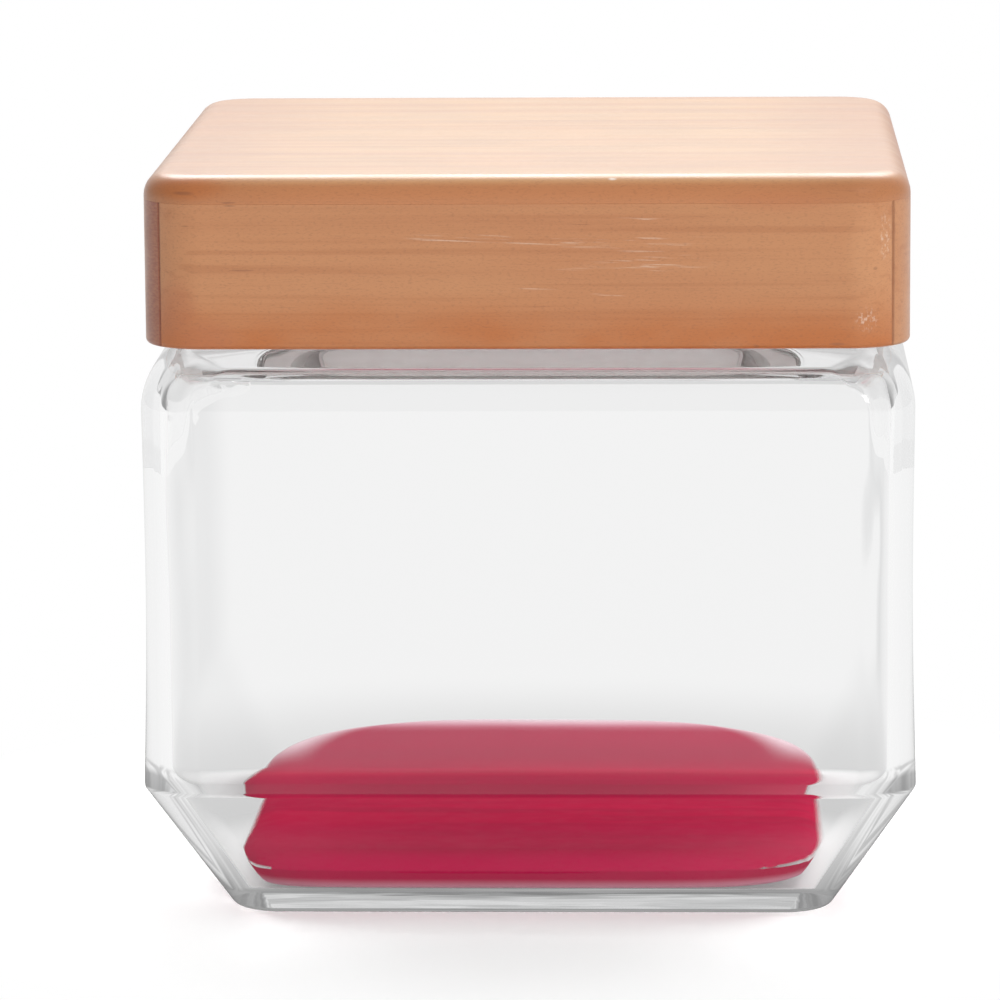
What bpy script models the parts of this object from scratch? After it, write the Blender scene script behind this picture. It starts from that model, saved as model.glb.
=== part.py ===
"""Square glass candy jar with a wooden box lid and a set layer of red candy.

Metres, +Z up. The origin is the centre of the foot on the table, and the front faces -Y.
The jar is one piece of glass: a tapered base, flat walls, a rounded shoulder and a short
neck. The lid is a wooden box without a bottom: a top board on four mitred rails. A plug
board under the top board drops into the mouth and carries the seal ring.
"""

import math

import bmesh
import bpy

# Glass body, outside
BODY_WIDTH = 0.1217
BODY_CORNER = 0.009
BASE_WIDTH = 0.0957
BASE_CORNER = 0.007
TAPER_HEIGHT = 0.0222
CREST_FLARE = 0.0004
CREST_ROUND = 0.0022
WAIST_SINK = 0.00025
FOOT_ROUND = 0.002
FOOT_WIDTH = 0.008
PUSH_UP = 0.0008
PUSH_UP_RUN = 0.004
SHOULDER_START = 0.0827
SHOULDER_RISE = 0.0101
SHOULDER_RUN = 0.008

# Glass body, inside
WALL = 0.004
FLOOR_THICKNESS = 0.0045
FLOOR_CORNER = 0.0045
FLOOR_FILLET = 0.003

# Neck and mouth
MOUTH_CORNER = 0.0165
MOUTH_FILLET = 0.003
NECK_WALL = 0.0035
NECK_FILLET = 0.0015
LIP_BEAD = 0.0009
LIP_HEIGHT = 0.0036
LIP_ROUND = 0.0014

# Wooden lid. It stands in a little from the glass walls, and clears the lip all round.
LID_INSET = 0.00085
LIP_CLEARANCE = 0.0046
LID_HEIGHT = 0.0271
LID_CORNER = 0.0098
TOP_BOARD = 0.0042
TOP_ROUND = 0.0026
RAIL_THICKNESS = 0.008
RAIL_ROUND = 0.0008
GLUE_LINE = 0.0002

# Plug board and its seal ring
PLUG_HEIGHT = 0.010
PLUG_ROUND = 0.0012
SEAL_SKIRT = 0.0016
SEAL_SKIRT_HEIGHT = 0.0072
SEAL_FLANGE = 0.0012
SEAL_FLANGE_OVERLAP = 0.0032
SEAL_FIN = 0.0009
SEAL_FIN_HEIGHT = 0.0012
SEAL_FINS = 2
SEAL_CLEARANCE = 0.0003

# Candy layer on the floor
CANDY_MARGIN = 0.0005
CANDY_RIM = 0.0034
CANDY_CROWN = 0.0029
CANDY_CROWN_RUN = 0.010
CANDY_CORNER = 0.022

# Clearance between a piece and what it rests on
SEAT_GAP = 0.0003

# Steps along a quarter turn seen from above, and along small rounds
CORNER_STEPS = 8
ROUND_STEPS = 4
SHOULDER_STEPS = 8
WALL_STEPS = 5

# Places that follow from the sizes
SHOULDER_TOP = SHOULDER_START + SHOULDER_RISE
LID_BOTTOM = SHOULDER_TOP + SEAT_GAP
LID_TOP = LID_BOTTOM + LID_HEIGHT
TOP_BOARD_BOTTOM = LID_TOP - TOP_BOARD
SEAL_TOP = TOP_BOARD_BOTTOM - GLUE_LINE
LIP_TOP = SEAL_TOP - SEAL_FLANGE - SEAT_GAP
LID_WIDTH = BODY_WIDTH - 2 * LID_INSET
NECK_WIDTH = LID_WIDTH - 2 * (RAIL_THICKNESS + LIP_CLEARANCE + LIP_BEAD)
MOUTH_WIDTH = NECK_WIDTH - 2 * NECK_WALL
NECK_CORNER = MOUTH_CORNER + NECK_WALL


def clear_scene():
    for old in list(bpy.data.objects):
        bpy.data.objects.remove(old)


def make_collection(name):
    collection = bpy.data.collections.new(name)
    bpy.context.scene.collection.children.link(collection)
    return collection


def make_material(name, colour, roughness, transmission=0.0):
    material = bpy.data.materials.new(name)
    material.use_nodes = True
    shader = material.node_tree.nodes["Principled BSDF"]
    shader.inputs["Base Color"].default_value = (*colour, 1.0)
    shader.inputs["Roughness"].default_value = roughness
    shader.inputs["Metallic"].default_value = 0.0
    shader.inputs["Transmission Weight"].default_value = transmission
    return material


def make_object(name, mesh, material, collection):
    if not mesh.materials:
        mesh.materials.append(material)
    mesh.shade_smooth()
    mesh.set_sharp_from_angle(angle=math.radians(32))
    made = bpy.data.objects.new(name, mesh)
    collection.objects.link(made)
    return made


def mesh_from(name, bm):
    bmesh.ops.recalc_face_normals(bm, faces=bm.faces)
    mesh = bpy.data.meshes.new(name)
    bm.to_mesh(mesh)
    bm.free()
    return mesh


def between(value, start, end, at_start, at_end):
    """at_start where value is start, at_end where it is end, and a straight line between."""
    return at_start + (at_end - at_start) * (value - start) / (end - start)


def rounded_square(width, corner, height):
    """Points of a square with round corners, seen from above, anticlockwise from its right side."""
    inset = width / 2 - corner
    points = []
    for quarter in range(4):
        turn = quarter * math.pi / 2
        side_x, side_y = math.cos(turn + math.pi / 4), math.sin(turn + math.pi / 4)
        centre_x = math.copysign(inset, side_x)
        centre_y = math.copysign(inset, side_y)
        for step in range(CORNER_STEPS + 1):
            angle = turn + step / CORNER_STEPS * math.pi / 2
            x = centre_x + corner * math.cos(angle)
            y = centre_y + corner * math.sin(angle)
            points.append((x, y, height))
    return points


def rounded_path(corners):
    """The outline through (half width, height, radius) corners, each rounded by its radius."""
    path = []
    for index, (x, z, radius) in enumerate(corners):
        if radius == 0:
            path.append((x, z))
            continue
        before, after = corners[index - 1], corners[(index + 1) % len(corners)]
        in_angle = math.atan2(before[1] - z, before[0] - x)
        out_angle = math.atan2(after[1] - z, after[0] - x)
        turn = (out_angle - in_angle + math.pi) % (2 * math.pi) - math.pi
        reach = radius / math.tan(abs(turn) / 2)
        middle = in_angle + turn / 2
        far = radius / math.sin(abs(turn) / 2)
        centre_x, centre_z = x + far * math.cos(middle), z + far * math.sin(middle)
        start_x, start_z = x + reach * math.cos(in_angle), z + reach * math.sin(in_angle)
        start = math.atan2(start_z - centre_z, start_x - centre_x)
        sweep = -math.copysign(math.pi - abs(turn), turn)
        for step in range(ROUND_STEPS + 1):
            angle = start + sweep * step / ROUND_STEPS
            path.append((centre_x + radius * math.cos(angle), centre_z + radius * math.sin(angle)))
    return path


def loft(rings, closed_loop=False):
    """A mesh through rings of equal length. An open loft is capped at both ends."""
    bm = bmesh.new()
    rows = [[bm.verts.new(point) for point in ring] for ring in rings]
    pairs = list(zip(rows, rows[1:]))
    if closed_loop:
        pairs.append((rows[-1], rows[0]))
    else:
        bm.faces.new(rows[0])
        bm.faces.new(rows[-1])
    count = len(rows[0])
    for lower, upper in pairs:
        for index in range(count):
            following = (index + 1) % count
            bm.faces.new((lower[index], lower[following], upper[following], upper[index]))
    return bm


def outer_low_path():
    """Under the foot, round its edge and up the tapered base to the crest."""
    base, crest = BASE_WIDTH / 2, BODY_WIDTH / 2 + CREST_FLARE
    foot_inside = base - FOOT_WIDTH
    corners = [
        (foot_inside - PUSH_UP_RUN, PUSH_UP, 0),
        (foot_inside, 0, 0),
        (base, 0, FOOT_ROUND),
        (crest, TAPER_HEIGHT, CREST_ROUND),
        (crest, SHOULDER_START, 0),
    ]
    return rounded_path(corners)[:-1]


def outer_wall_path():
    """The flat wall above the crest: it sinks a little half way up, as pressed glass does."""
    body = BODY_WIDTH / 2
    path = []
    for step in range(1, WALL_STEPS + 1):
        share = step / WALL_STEPS
        height = between(share, 0, 1, TAPER_HEIGHT + CREST_ROUND, SHOULDER_START)
        sink = WAIST_SINK * math.sin(math.pi * share)
        flare = CREST_FLARE * (1 - share) ** 4
        path.append((body - sink + flare, height))
    return path


def shoulder_path(run, rise):
    """A quarter of an ellipse from the wall up to the flat of the shoulder."""
    centre = BODY_WIDTH / 2 - SHOULDER_RUN
    angles = [step / SHOULDER_STEPS * math.pi / 2 for step in range(1, SHOULDER_STEPS + 1)]
    return [(centre + run * math.cos(a), SHOULDER_START + rise * math.sin(a)) for a in angles]


def outer_high_path():
    """The shoulder, the neck and the outside of the lip."""
    neck, bead = NECK_WIDTH / 2, NECK_WIDTH / 2 + LIP_BEAD
    shoulder = shoulder_path(SHOULDER_RUN, SHOULDER_RISE)
    bead_bottom = LIP_TOP - LIP_HEIGHT
    corners = [
        (*shoulder[-1], 0),
        (neck, SHOULDER_TOP, NECK_FILLET),
        (neck, bead_bottom - LIP_BEAD, 0),
        (bead, bead_bottom, 0),
        (bead, LIP_TOP, LIP_ROUND),
        (MOUTH_WIDTH / 2, LIP_TOP, 0),
    ]
    return shoulder[:-1] + rounded_path(corners)[:-1]


def inner_high_path():
    """The mouth's edge, the inside of the neck and the underside of the shoulder."""
    mouth = MOUTH_WIDTH / 2
    under_shoulder = SHOULDER_TOP - WALL
    shoulder = shoulder_path(SHOULDER_RUN - WALL, SHOULDER_RISE - WALL)
    corners = [
        (mouth + NECK_WALL, LIP_TOP, 0),
        (mouth, LIP_TOP, LIP_ROUND),
        (mouth, under_shoulder, MOUTH_FILLET),
        (*shoulder[-1], 0),
    ]
    return rounded_path(corners)[1:] + shoulder[-2::-1]


def taper_slope():
    """How far the tapered wall runs outwards for each unit that it rises."""
    return (BODY_WIDTH / 2 + CREST_FLARE - BASE_WIDTH / 2) / TAPER_HEIGHT


def inside_taper(height):
    """Half the inside width of the tapered base at a height. Its wall is WALL thick."""
    slope = taper_slope()
    return BASE_WIDTH / 2 + slope * height - WALL * math.hypot(1, slope)


def inner_low_path():
    """The inside wall, the inside of the taper and the floor."""
    inside = BODY_WIDTH / 2 - WALL
    floor = inside_taper(FLOOR_THICKNESS)
    taper_top = FLOOR_THICKNESS + (inside - floor) / taper_slope()
    corners = [
        (inside, SHOULDER_START, 0),
        (inside, taper_top, CREST_ROUND),
        (floor, FLOOR_THICKNESS, FLOOR_FILLET),
        (floor - 2 * FLOOR_FILLET, FLOOR_THICKNESS, 0),
    ]
    return rounded_path(corners)


def rings_along(path, start, end):
    """Rounded squares along a path. start and end give (half width, corner) to blend between."""
    rings = []
    for half, height in path:
        corner = between(half, start[0], end[0], start[1], end[1])
        rings.append(rounded_square(2 * half, corner, height))
    return rings


def build_jar(material, collection):
    body, base, neck = BODY_WIDTH / 2, BASE_WIDTH / 2, NECK_WIDTH / 2
    inside = (body - WALL, BODY_CORNER - WALL)
    rings = rings_along(outer_low_path(), (base, BASE_CORNER), (body, BODY_CORNER))
    rings += [rounded_square(2 * half, BODY_CORNER, z) for half, z in outer_wall_path()]
    rings += rings_along(outer_high_path(), (body, BODY_CORNER), (neck, NECK_CORNER))
    rings += rings_along(inner_high_path(), (MOUTH_WIDTH / 2, MOUTH_CORNER), inside)
    rings += rings_along(inner_low_path(), (inside_taper(FLOOR_THICKNESS), FLOOR_CORNER), inside)
    return make_object("glass_jar", mesh_from("glass_jar", loft(rings)), material, collection)


def build_candy(material, collection):
    """Candy that has set on the floor: its side follows the glass and its edge is crowned."""
    bottom = FLOOR_THICKNESS + SEAT_GAP
    rim = bottom + CANDY_RIM
    half = inside_taper(rim) - CANDY_MARGIN
    low_half = inside_taper(bottom) - CANDY_MARGIN
    corners = [
        (low_half - 2 * FLOOR_FILLET, bottom, 0),
        (low_half, bottom, FLOOR_FILLET),
        (half, rim, 0),
    ]
    path = rounded_path(corners)
    for step in range(1, SHOULDER_STEPS + 1):
        angle = step / SHOULDER_STEPS * math.pi / 2
        crown = CANDY_CROWN_RUN * (1 - math.cos(angle))
        path.append((half - crown, rim + CANDY_CROWN * math.sin(angle)))
    rings = [rounded_square(2 * x, CANDY_CORNER - (half - x), z) for x, z in path]
    return make_object("candy_layer", mesh_from("candy_layer", loft(rings)), material, collection)


def bevel_where(bm, chosen, radius, steps):
    edges = [edge for edge in bm.edges if chosen(edge)]
    bmesh.ops.bevel(bm, geom=edges, offset=radius, segments=steps, profile=0.5, affect="EDGES")


def is_level(edge):
    return abs(edge.verts[0].co.z - edge.verts[1].co.z) < 1e-6


def is_level_at(edge, height):
    return all(abs(vert.co.z - height) < 1e-6 for vert in edge.verts)


def rounded_board(name, width, thickness, corner, round_radius, round_top):
    """A square board with round corners and one rounded face edge, its underside at z 0."""
    bm = bmesh.new()
    bmesh.ops.create_cube(bm, size=1.0)
    bmesh.ops.scale(bm, vec=(width, width, thickness), verts=bm.verts)
    bmesh.ops.translate(bm, vec=(0, 0, thickness / 2), verts=bm.verts)
    bevel_where(bm, lambda edge: not is_level(edge), corner, CORNER_STEPS)
    height = thickness if round_top else 0
    bevel_where(bm, lambda edge: is_level_at(edge, height), round_radius, ROUND_STEPS)
    return mesh_from(name, bm)


def rail_outline():
    """Plan of the front rail: straight inside, mitred ends, and half of each round lid corner."""
    inside = LID_WIDTH / 2 - RAIL_THICKNESS
    centre = LID_WIDTH / 2 - LID_CORNER
    mitre_gap = GLUE_LINE / math.sqrt(2)
    first = math.radians(225) + math.asin(mitre_gap / (LID_CORNER * math.sqrt(2)))
    last = math.radians(270)
    steps = CORNER_STEPS // 2
    left = []
    for step in range(steps + 1):
        angle = between(step, 0, steps, first, last)
        left.append((-centre + LID_CORNER * math.cos(angle), -centre + LID_CORNER * math.sin(angle)))
    right = [(-x, y) for x, y in reversed(left)]
    inner = inside - mitre_gap
    return [(inner, -inside), (-inner, -inside)] + left + right


def rail_mesh():
    """One rail from the lid's bottom to its top board. Its long outer bottom edge is rounded."""
    height = TOP_BOARD_BOTTOM - GLUE_LINE - LID_BOTTOM
    bm = bmesh.new()
    face = bm.faces.new([bm.verts.new((x, y, 0)) for x, y in rail_outline()])
    lifted = bmesh.ops.extrude_face_region(bm, geom=[face])["geom"]
    upper = [item for item in lifted if isinstance(item, bmesh.types.BMVert)]
    bmesh.ops.translate(bm, vec=(0, 0, height), verts=upper)
    bm.normal_update()
    inside = LID_WIDTH / 2 - RAIL_THICKNESS

    def is_outer_bottom(edge):
        ends = [vert.co for vert in edge.verts]
        across = abs(abs(ends[0].x) - abs(ends[1].x)) < RAIL_THICKNESS / 2 or ends[0].x * ends[1].x < 0
        return is_level_at(edge, 0) and across and all(co.y < -inside - RAIL_THICKNESS / 4 for co in ends)

    bevel_where(bm, is_outer_bottom, RAIL_ROUND, ROUND_STEPS)
    return mesh_from("lid_rail", bm)


def build_lid(wood, inner_wood, rubber, collection):
    """The top board, four mitred rails, the plug board and the seal ring, on one empty."""
    lid = bpy.data.objects.new("lid", None)
    collection.objects.link(lid)
    lid.location.z = LID_BOTTOM

    board = rounded_board("lid_top_board", LID_WIDTH, TOP_BOARD, LID_CORNER, TOP_ROUND, True)
    top = make_object("lid_top_board", board, wood, collection)
    top.location.z = TOP_BOARD_BOTTOM - LID_BOTTOM

    rail = rail_mesh()
    rails = []
    for turn, side in enumerate(("front", "right", "back", "left")):
        piece = make_object(f"lid_{side}_rail", rail, wood, collection)
        piece.rotation_euler.z = turn * math.pi / 2
        rails.append(piece)

    plug_width = MOUTH_WIDTH - 2 * (SEAL_CLEARANCE + SEAL_FIN + SEAL_SKIRT + GLUE_LINE)
    plug_corner = MOUTH_CORNER - (MOUTH_WIDTH - plug_width) / 2
    board = rounded_board("lid_plug_board", plug_width, PLUG_HEIGHT, plug_corner, PLUG_ROUND, False)
    plug = make_object("lid_plug_board", board, inner_wood, collection)
    plug.location.z = TOP_BOARD_BOTTOM - GLUE_LINE - PLUG_HEIGHT - LID_BOTTOM

    seal = make_object("lid_seal_ring", seal_mesh(), rubber, collection)
    seal.location.z = SEAL_TOP - LID_BOTTOM
    for piece in (top, *rails, plug, seal):
        piece.parent = lid


def seal_mesh():
    """A ring with a flat flange over the lip, a skirt round the plug and fins towards the mouth."""
    tip = MOUTH_WIDTH / 2 - SEAL_CLEARANCE
    skirt = tip - SEAL_FIN
    inside = skirt - SEAL_SKIRT
    rim = MOUTH_WIDTH / 2 + SEAL_FLANGE_OVERLAP
    skirt_bottom = -SEAL_FLANGE - SEAL_SKIRT_HEIGHT
    corners = [(inside, 0, 0), (inside, skirt_bottom, 0), (skirt, skirt_bottom, 0)]
    for fin in range(SEAL_FINS):
        middle = skirt_bottom + SEAL_SKIRT_HEIGHT * (fin + 0.5) / SEAL_FINS
        corners.append((skirt, middle - SEAL_FIN_HEIGHT / 2, 0))
        corners.append((tip, middle, 0))
        corners.append((skirt, middle + SEAL_FIN_HEIGHT / 2, 0))
    corners += [(skirt, -SEAL_FLANGE, 0), (rim, -SEAL_FLANGE, 0), (rim, 0, 0)]
    mouth_inset = MOUTH_WIDTH / 2 - MOUTH_CORNER
    rings = [rounded_square(2 * half, half - mouth_inset, z) for half, z, _ in corners]
    return mesh_from("lid_seal_ring", loft(rings, closed_loop=True))


def main():
    clear_scene()
    jar = make_collection("candy_jar")
    glass = make_material("clear_glass", (0.95, 0.96, 0.96), 0.02, transmission=1.0)
    wood = make_material("pine_wood", (0.62, 0.31, 0.13), 0.42)
    inner_wood = make_material("bare_pine", (0.72, 0.50, 0.30), 0.6)
    rubber = make_material("clear_silicone", (0.82, 0.82, 0.80), 0.45)
    candy = make_material("red_candy", (0.55, 0.02, 0.07), 0.12)
    build_jar(glass, jar)
    build_candy(candy, jar)
    build_lid(wood, inner_wood, rubber, jar)


main()
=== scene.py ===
"""Looks of a square glass candy jar with a wooden box lid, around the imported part. Metres, +Z up."""

import math

import bmesh
import bpy
from mathutils import Matrix, Vector, noise


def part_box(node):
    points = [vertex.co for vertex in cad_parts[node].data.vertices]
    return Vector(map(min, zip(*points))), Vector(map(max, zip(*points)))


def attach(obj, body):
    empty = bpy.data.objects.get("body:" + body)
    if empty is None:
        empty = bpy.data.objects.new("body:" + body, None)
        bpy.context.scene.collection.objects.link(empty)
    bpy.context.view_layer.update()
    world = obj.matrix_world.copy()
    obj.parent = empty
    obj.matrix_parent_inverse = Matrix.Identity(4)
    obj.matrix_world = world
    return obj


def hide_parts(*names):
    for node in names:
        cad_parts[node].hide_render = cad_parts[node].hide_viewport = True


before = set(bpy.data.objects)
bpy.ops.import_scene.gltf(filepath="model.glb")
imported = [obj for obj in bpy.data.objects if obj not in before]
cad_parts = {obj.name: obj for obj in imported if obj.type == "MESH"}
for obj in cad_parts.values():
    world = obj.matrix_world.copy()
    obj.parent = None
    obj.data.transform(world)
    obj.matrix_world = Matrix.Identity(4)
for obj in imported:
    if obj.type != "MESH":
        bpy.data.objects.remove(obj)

# Camera, as it stood for the photograph
CAMERA_PLACE = (0.02848, -0.95324, 0.226248)
CAMERA_DOWN = 9.954
CAMERA_LEFT = -2.089
CAMERA_ROLL = -0.402
CAMERA_LENS = 209.19

# Glass body, outside
BODY_CORNER = 0.009
BASE_WIDTH = 0.0957
BASE_CORNER = 0.007
TAPER_HEIGHT = 0.0222
CREST_FLARE = 0.0004
CREST_ROUND = 0.0016
WAIST_SINK = 0.00025
FOOT_ROUND = 0.002
FOOT_WIDTH = 0.008
PUSH_UP = 0.0008
PUSH_UP_RUN = 0.004
SHOULDER_START = 0.0827
SHOULDER_RISE = 0.0101
SHOULDER_RUN = 0.008

# Glass body, inside, with its neck and mouth
WALL = 0.004
SHOULDER_WALL = 0.0046
FLOOR_THICKNESS = 0.0045
FLOOR_CORNER = 0.0045
FLOOR_FILLET = 0.0016
INSIDE_TAPER_TOP = 0.0246
INSIDE_CREST_ROUND = 0.006
INSIDE_SQUARENESS = 30
MOUTH_WIDTH = 0.086
MOUTH_CORNER = 0.0165
MOUTH_FILLET = 0.003
NECK_WALL = 0.0035
NECK_FILLET = 0.0015
LIP_BEAD = 0.0009
LIP_HEIGHT = 0.0036
LIP_ROUND = 0.0014

# How far the glass wavers, and over what length
INSIDE_WAVER = 0.00012
WAVER_LENGTH = 0.022
WAVER_FADE = 0.012

# Upright streaks in the upper corners of the inside
CORNER_STREAK = 0.0005
STREAK_WIDTH = 0.0025
STREAK_LENGTH = 0.02
STREAK_START = 0.009
STREAK_FULL = 0.003
STREAK_RISE = (0.050, 0.080)

# How many bounces of light the glass bends: low down, and then near the top and in the upper corners
BOUNCES = (1.5, 3.5)
UPPER_CORNER_OUT = (0.050, 0.056)
UPPER_CORNER_UP = (0.066, 0.082)

# Wooden lid
LID_CORNER = 0.0098
TOP_ROUND = 0.0037
RAIL_THICKNESS = 0.008
RAIL_ROUND = 0.0008
SEAM_ROUND = 0.00004
MITRE_GAP = 0.00003
MITRE_EASE = 0.00020
PLUG_CORNER = 0.0135
PLUG_ROUND = 0.0012

# How far inside the edges of the boards their flat faces begin
UNDERSIDE_INSET = 0.003
TOP_FACE_INSET = 0.0005
PLUG_UNDERSIDE_INSET = 0.004
PLUG_TOP_INSET = 0.002

# Seal ring
SEAL_SKIRT = 0.0016
SEAL_FLANGE = 0.0012
SEAL_FIN = 0.0009
SEAL_FIN_HEIGHT = 0.0012
SEAL_FIN_ROUND = 0.0002
SEAL_FINS = 2
SEAL_EASE = 0.0003

# Candy layer
CANDY_RIM = 0.0034
CANDY_CROWN = 0.0029
CANDY_CROWN_RUN = 0.006
CANDY_CORNER = 0.004
CANDY_SQUARENESS = (8.0, 5.0, 3.0)
CANDY_SPREAD = 0.0003
CANDY_MOST_DEPTH = 0.95

# Where the candy's colour changes, as (from, to) or (from, to, at from, at to).
# It is measured along Y, but in Z or in the margin where the name says so.
# Painted shade: the candy's front is painted a deeper maroon for the dark band that the glass's bend
# shows over it
PAINTED_SHADE_FRONT = (-0.014, -0.028, 0.0, 0.7)
ROSE_REAR = (-0.004, 0.016)
# Painted light on the candy's front side, which faces down into shade
PAINTED_LIGHT_FRONT_EDGE = (-0.0435, -0.0465)
# Paler low on the candy's side: partly the fade at its edge, partly painted light on the side, which
# faces down into shade
FADE_AND_PAINTED_LIGHT_BELOW_IN_Z = (0.0070, 0.0050, 0.0, 0.8)
PALE_REAR = (0.032, 0.0465, 0.0, 0.85)
THIN_CORNER_IN_MARGIN = (0.0100, 0.0035)
THIN_CORNER = (0.006, 0.028)
THIN_REAR = (0.036, 0.0455)

# Where the candy fades out
SIDE_FADE_FRONT = (-0.042, -0.018, 0.0002, 0.0018)
SIDE_FADE_REAR = (0.016, 0.042, 0.0, 0.005)
REAR_FADE = (0.040, 0.0478, 1.0, 0.0)
SOLID_BELOW_IN_Z = (0.0095, 0.0078)
SOLID_REAR = (0.022, 0.036)

# Fineness of the meshes
CORNER_STEPS = 14
SIDE_STEPS = 22
ROUND_STEPS = 8
SHOULDER_STEPS = 14
WALL_STEPS = 24
SHARP_ANGLE = 40

# Colours
PINE = (0.55, 0.240, 0.098)
PINE_DARK = (0.42, 0.150, 0.050)
PINE_RUST = (0.50, 0.17, 0.06)
PINE_PORE = (0.20, 0.07, 0.03)
PINE_SCUFF = (0.80, 0.62, 0.50)
# Unvarnished wood inside the lid, painted pale grey: painted light in the shaded inside, which shows
# through the glass shoulder
BARE_PINE_PAINTED_PALE = (0.70, 0.72, 0.70)
BARE_PINE_PAINTED_GREY = (0.62, 0.63, 0.60)
VARNISHED = (PINE, PINE_DARK, PINE_RUST)
# The top board's paler tone is painted light, for the light falling on its top face
VARNISHED_TOP_PAINTED_LIT = ((0.58, 0.32, 0.13), (0.44, 0.17, 0.06), (0.52, 0.22, 0.08))
BARE_PAINTED_PALE = (BARE_PINE_PAINTED_PALE, BARE_PINE_PAINTED_GREY, BARE_PINE_PAINTED_GREY)
CRIMSON = (0.58, 0.010, 0.066)
MAROON = (0.46, 0.012, 0.060)
# Painted shade, on the candy's front
PAINTED_SHADE_MAROON = (0.54, 0.005, 0.066)
ROSE = (0.38, 0.022, 0.064)
# Painted light, on the candy's front side
PAINTED_LIGHT_ROSE = (0.58, 0.008, 0.075)
PALE_ROSE = (0.80, 0.42, 0.52)
PALEST_ROSE = (0.86, 0.72, 0.77)
GLASS = (0.975, 0.975, 0.975)
GLASS_THROUGH = (0.97, 0.97, 0.97)
GLASS_DEEP = (0.30, 0.31, 0.32)
SILICONE = (0.80, 0.80, 0.78)
SILICONE_HAZE = (0.70, 0.71, 0.70)
PAPER = (0.8, 0.8, 0.8)

# Colours of the marks on the wood
LOW_STAIN = (0.49, 0.14, 0.025)
LEFT_STAIN = (0.46, 0.135, 0.045)
CORNER_STAIN = (0.46, 0.135, 0.030)
# Painted shade: the top board's edge is tinted back down to the darker tone of the front
EDGE_PAINTED_SHADE = (0.52, 0.195, 0.072)
END_STAIN = (0.42, 0.16, 0.055)
# Painted light, for the right end of the front rail
PAINTED_LIGHT_PATCH = (0.66, 0.34, 0.16)
# Painted shade on the strip at the lid's left corner, which faces away from the light
LEFT_END_PAINTED_SHADE = (0.30, 0.065, 0.025)
CHIP = (0.90, 0.86, 0.80)

# Marks on the front of the lid, each (x, z, half length, half height) in millimetres
RAIL_STAINS = [(-54.5, 99, 4.5, 7), (-50, 95, 7, 4)]
RAIL_TONGUE = [(39, 116.2, 13, 2.2)]
# A patch of painted light at the right end of the front rail, where the lid turns towards the light
RAIL_PAINTED_LIGHT = [(53.5, 108, 5, 9)]
RAIL_SPECKS = [
    (-52.8, 112.5, 0.8, 0.15), (-44, 105.6, 2.6, 0.2), (54.3, 105.6, 0.5, 0.35),
    (48.4, 93.9, 1.6, 0.35), (35.9, 93.6, 0.6, 0.3), (-45.8, 115.7, 1.4, 0.2),
]
RAIL_SCRATCHES = [
    (17, 113.2, 8, 0.8), (12, 110, 24, 1.2), (24, 108.9, 12, 1.4), (-9, 110.6, 12, 1.0),
    (20, 106.4, 12, 1.6), (0, 102.4, 6, 0.5), (13.5, 101.7, 4, 0.5), (8, 105.5, 4, 0.5),
]
RAIL_SCUFFS = [(55.8, 110.5, 1.2, 5), (53.0, 97.7, 2.2, 2.4)]
BOARD_TONGUE = [(39, 116.5, 13, 1.8)]
BOARD_STAIN = [(-53, 118.4, 9, 2.6)]
BOARD_SPECKS = [(-53, 117.6, 2.2, 0.4), (-46, 116.2, 1.6, 0.2)]

# Depth of every such mark, the share of it at full strength, and how the scratches lean
MARK_DEPTH = 0.02
MARK_CORE = 0.3
SCRATCH_LEAN = -0.035

# Other marks on the wood, in metres
JOINT_LINE = (0.0567, 0.0571)
LOW_STAIN_RISE = (0.1035, 0.094)
# Where the painted shade on the left rail's front end comes in
LEFT_END_PAINTED_SHADE_RUN = (0.0515, 0.0545)
# Where the painted shade round the top board's edge comes in, below its top face
EDGE_PAINTED_SHADE_RISE = (0.1200, 0.1184, 0.0, 0.9)
END_STAIN_RUN = (0.030, 0.058, 0.0, 0.55)
CHIP_PLACE = (0.0136, -0.0588, 0.1196)
CHIP_SIZE = (0.0010, 0.0010, 0.0003)

# Grain of the wood, in cells to the metre along X, Y and Z
GROWTH = (3, 90, 90)
TOP_GROWTH = (1.2, 190, 60)
STREAKS = (10, 900, 900)
PORES = (130, 3200, 3200)
FIBRES = (1500, 4000, 4000)
BLOTCHES = (18, 35, 35)
SMEARS = (60, 160, 160)
SCRATCHES = (110, 110, 3600)
RUBS = (2200, 2200, 1500)
HATCH = (900, 900, 3000)
LOW_STAIN_CLOUD = (40, 40, 90)

# The studio, as (from, to, strength at from, strength at to) along X, Y or Z of a direction
CEILING_UP = (0.40, 0.90, 1.0, 0.5)
MIRRORED_BACK = (-0.5, 0.4, 0.08, 1.70)
MIRRORED_RIGHT = (-0.6, -0.03, 0.2, 1.0)
LIGHT_RIGHT = (-0.8, 0.4, 0.35, 0.87)
BENT_OUT = (0.45, 0.90, 1.0, 0.4)
BENT_BACK = (-0.7, 0.0, 0.45, 1.0)

# The floor, as (from, to) or (from, to, at from, at to) in metres from its middle
FLOOR_RADIUS = 3.0
FLOOR_DROP = 0.0004
FLOOR_GLOW = 0.25
SEEN_AWAY = (0.075, 0.122)
# Painted shade: the glow that rays bent or mirrored by the glass meet is darker near the jar, and uneven
# as painted reflections
BENT_AWAY = (0.05, 0.07)
BENT_SHADE = (0.07, 0.14, 0.80, 1.0)
INSIDE_AWAY = (0.09, 0.15)
INSIDE_SHADE = (0.055, 0.080, 0.5, 1.0)
INSIDE_SHADE_IN_Y = (-0.060, -0.067, 1.0, 0.25)
OUTSIDE_SHADE = (0.08, 0.26, 0.08, 0.75)
INSIDE_CLOUD = (14, 40, 1)

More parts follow.
